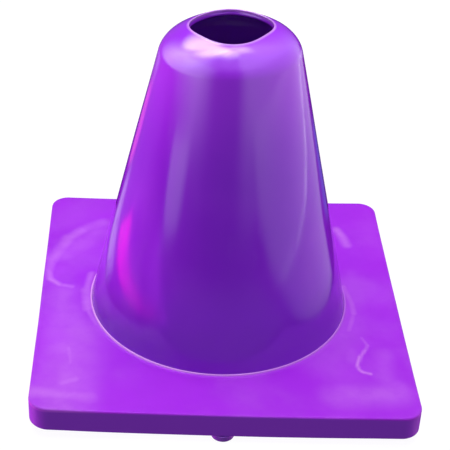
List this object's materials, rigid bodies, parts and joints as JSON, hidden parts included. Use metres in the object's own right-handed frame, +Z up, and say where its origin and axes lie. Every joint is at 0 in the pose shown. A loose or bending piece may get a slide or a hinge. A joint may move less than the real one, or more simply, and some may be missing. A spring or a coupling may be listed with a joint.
{
  "type": "boundary cone",
  "caption": "Small soft vinyl marker cone: a hollow tapered shell with a domed shoulder and open mouth, locked into a thick square base on stub feet.",
  "frame": {"origin": "on the floor, under the cone's axis and the middle of the square base", "axes": "+Z up along the cone's axis, -Y towards the front side of the base, +X to the right"},
  "size_m": [0.167, 0.167, 0.1524],
  "materials": {
    "gloss_vinyl": "high gloss",
    "satin_vinyl": "satin",
    "foot_vinyl": "satin"
  },
  "bodies": {
    "root": {"cone_shell": "gloss_vinyl", "base_slab": "satin_vinyl", "foot_front": "foot_vinyl", "foot_right": "foot_vinyl", "foot_back": "foot_vinyl", "foot_left": "foot_vinyl"}
  },
  "joints": []
}
